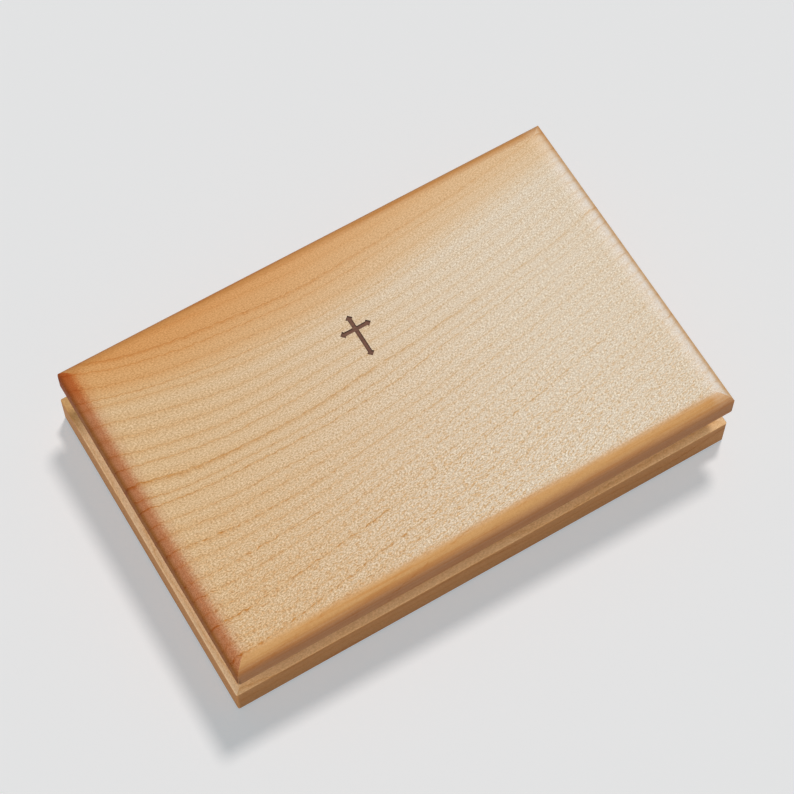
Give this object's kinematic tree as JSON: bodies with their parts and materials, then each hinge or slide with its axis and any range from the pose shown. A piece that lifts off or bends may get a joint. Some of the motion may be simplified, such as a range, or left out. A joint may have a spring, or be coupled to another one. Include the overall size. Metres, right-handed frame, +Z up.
{
  "type": "valet box",
  "caption": "Shallow maple box with a hinged lid: rounded lid board over set-back walls on a mitred plinth, brass butt hinges and a felt-lined inside for keepsakes and papers.",
  "frame": {"origin": "centre of the felt underside, on the surface that the box stands on", "axes": "+Z up; +X to the right along the length, seen from the front; +Y from the front towards the hinges"},
  "size_m": [0.216, 0.1417, 0.0444],
  "materials": {
    "maple_lid": "satin clear lacquer on hard maple, flat-sawn face",
    "maple_plinth": "satin clear lacquer on hard maple",
    "maple_wall": "satin clear lacquer on hard maple",
    "panel_plywood": "maple-faced plywood",
    "liner_felt": "pressed wool felt",
    "underside_felt": "pressed wool felt",
    "hinge_brass": "polished brass",
    "screw_brass": "polished brass"
  },
  "bodies": {
    "box": {"plinth_front": "maple_plinth", "plinth_right": "maple_plinth", "plinth_back": "maple_plinth", "plinth_left": "maple_plinth", "wall_front": "maple_wall", "wall_right": "maple_wall", "wall_back": "maple_wall", "wall_left": "maple_wall", "bottom_panel": "panel_plywood", "felt_liner": "liner_felt", "base_felt": "underside_felt", "hinge_left_box_leaf": "hinge_brass", "hinge_left_pin": "hinge_brass", "hinge_right_box_leaf": "hinge_brass", "hinge_right_pin": "hinge_brass", "hinge_box_screws": "screw_brass"},
    "lid": {"lid_panel": "maple_lid", "hinge_left_lid_leaf": "hinge_brass", "hinge_right_lid_leaf": "hinge_brass", "hinge_lid_screws": "screw_brass"}
  },
  "joints": [
    {"name": "lid_hinge", "type": "hinge", "parent": "box", "child": "lid", "pos_m": [0, 0.06273, 0.03165], "axis": [-1, 0, 0], "range_deg": [0, 110]}
  ]
}
